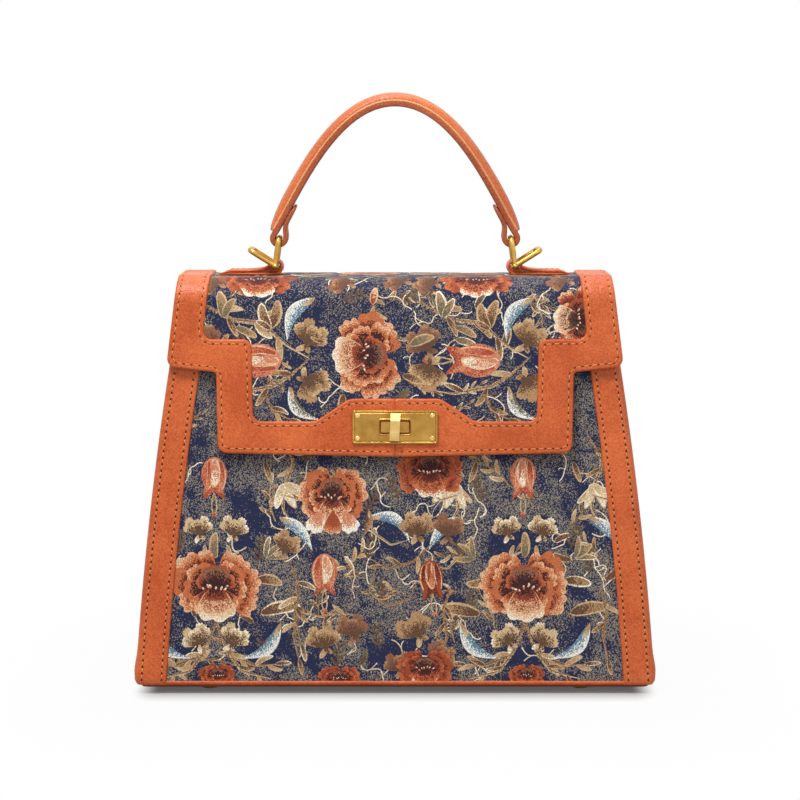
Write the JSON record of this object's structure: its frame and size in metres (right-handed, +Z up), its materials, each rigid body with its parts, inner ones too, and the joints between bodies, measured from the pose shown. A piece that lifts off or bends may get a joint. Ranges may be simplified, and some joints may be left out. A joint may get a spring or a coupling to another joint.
{
  "type": "top-handle flap bag",
  "caption": "Structured top-handle flap bag of floral cloth with tan leather trim, a brass turn lock, V-shaped strap rings and domed feet.",
  "frame": {"origin": "on the floor under the middle of the base", "axes": "+Z up, the flap and lock face -Y, +X to the right as seen from the front"},
  "size_m": [0.28, 0.1168, 0.3223],
  "materials": {
    "tan_leather": "tan orange grained leather with stitched edges",
    "floral_cloth": "woven floral cloth on a navy and grey ground",
    "lining_cloth": "plain woven lining",
    "antique_brass": "satin antique brass",
    "stiff_board": "stiff base board, hidden under the lining",
    "core_cord": "cotton cord inside the handle pad"
  },
  "bodies": {
    "bag": {"gusset_left": "tan_leather", "gusset_right": "tan_leather", "front_strip_left": "tan_leather", "front_strip_right": "tan_leather", "back_strip_left": "tan_leather", "back_strip_right": "tan_leather", "base_panel": "tan_leather", "base_band": "tan_leather", "facing_front": "tan_leather", "facing_back": "tan_leather", "flap_trim_left": "tan_leather", "flap_trim_right": "tan_leather", "flap_seam": "tan_leather", "tab_left": "tan_leather", "tab_right": "tan_leather", "front_panel": "floral_cloth", "back_panel": "floral_cloth", "flap_panel": "floral_cloth", "lining_front": "lining_cloth", "lining_back": "lining_cloth", "lining_left": "lining_cloth", "lining_right": "lining_cloth", "lining_floor": "lining_cloth", "foot_front_left": "antique_brass", "foot_front_right": "antique_brass", "foot_back_left": "antique_brass", "foot_back_right": "antique_brass", "foot_washers": "antique_brass", "lock_plate": "antique_brass", "lock_screws": "antique_brass", "lock_backing": "antique_brass", "lock_base": "antique_brass", "flap_lining": "tan_leather", "base_board": "stiff_board"},
    "toggle": {"lock_toggle": "antique_brass"},
    "ring_left": {"ring_left": "antique_brass"},
    "ring_right": {"ring_right": "antique_brass"},
    "handle": {"handle_strap": "tan_leather", "handle_pad": "tan_leather", "handle_core": "core_cord"}
  },
  "joints": [
    {"name": "toggle_turn", "type": "hinge", "parent": "bag", "child": "toggle", "pos_m": [0, -0.04793, 0.1434], "axis": [0, -0.9922, 0.1246], "range_deg": [-87, 3]},
    {"name": "ring_left_swing", "type": "hinge", "parent": "bag", "child": "ring_left", "pos_m": [-0.0656, 0, 0.22776], "axis": [0, 1, 0], "range_deg": [-15, 15]},
    {"name": "ring_right_swing", "type": "hinge", "parent": "bag", "child": "ring_right", "pos_m": [0.0656, 0, 0.22776], "axis": [0, 1, 0], "range_deg": [-15.5, 15.5]},
    {"name": "handle_swing", "type": "hinge", "parent": "ring_left", "child": "handle", "pos_m": [-0.0636, 0, 0.24276], "axis": [0, 1, 0], "range_deg": [-15.8, 15.8]}
  ],
  "couplings": [
    {"joint": "ring_right_swing", "follows": "ring_left_swing", "ratio": 1},
    {"joint": "handle_swing", "follows": "ring_left_swing", "ratio": -1.0315}
  ]
}
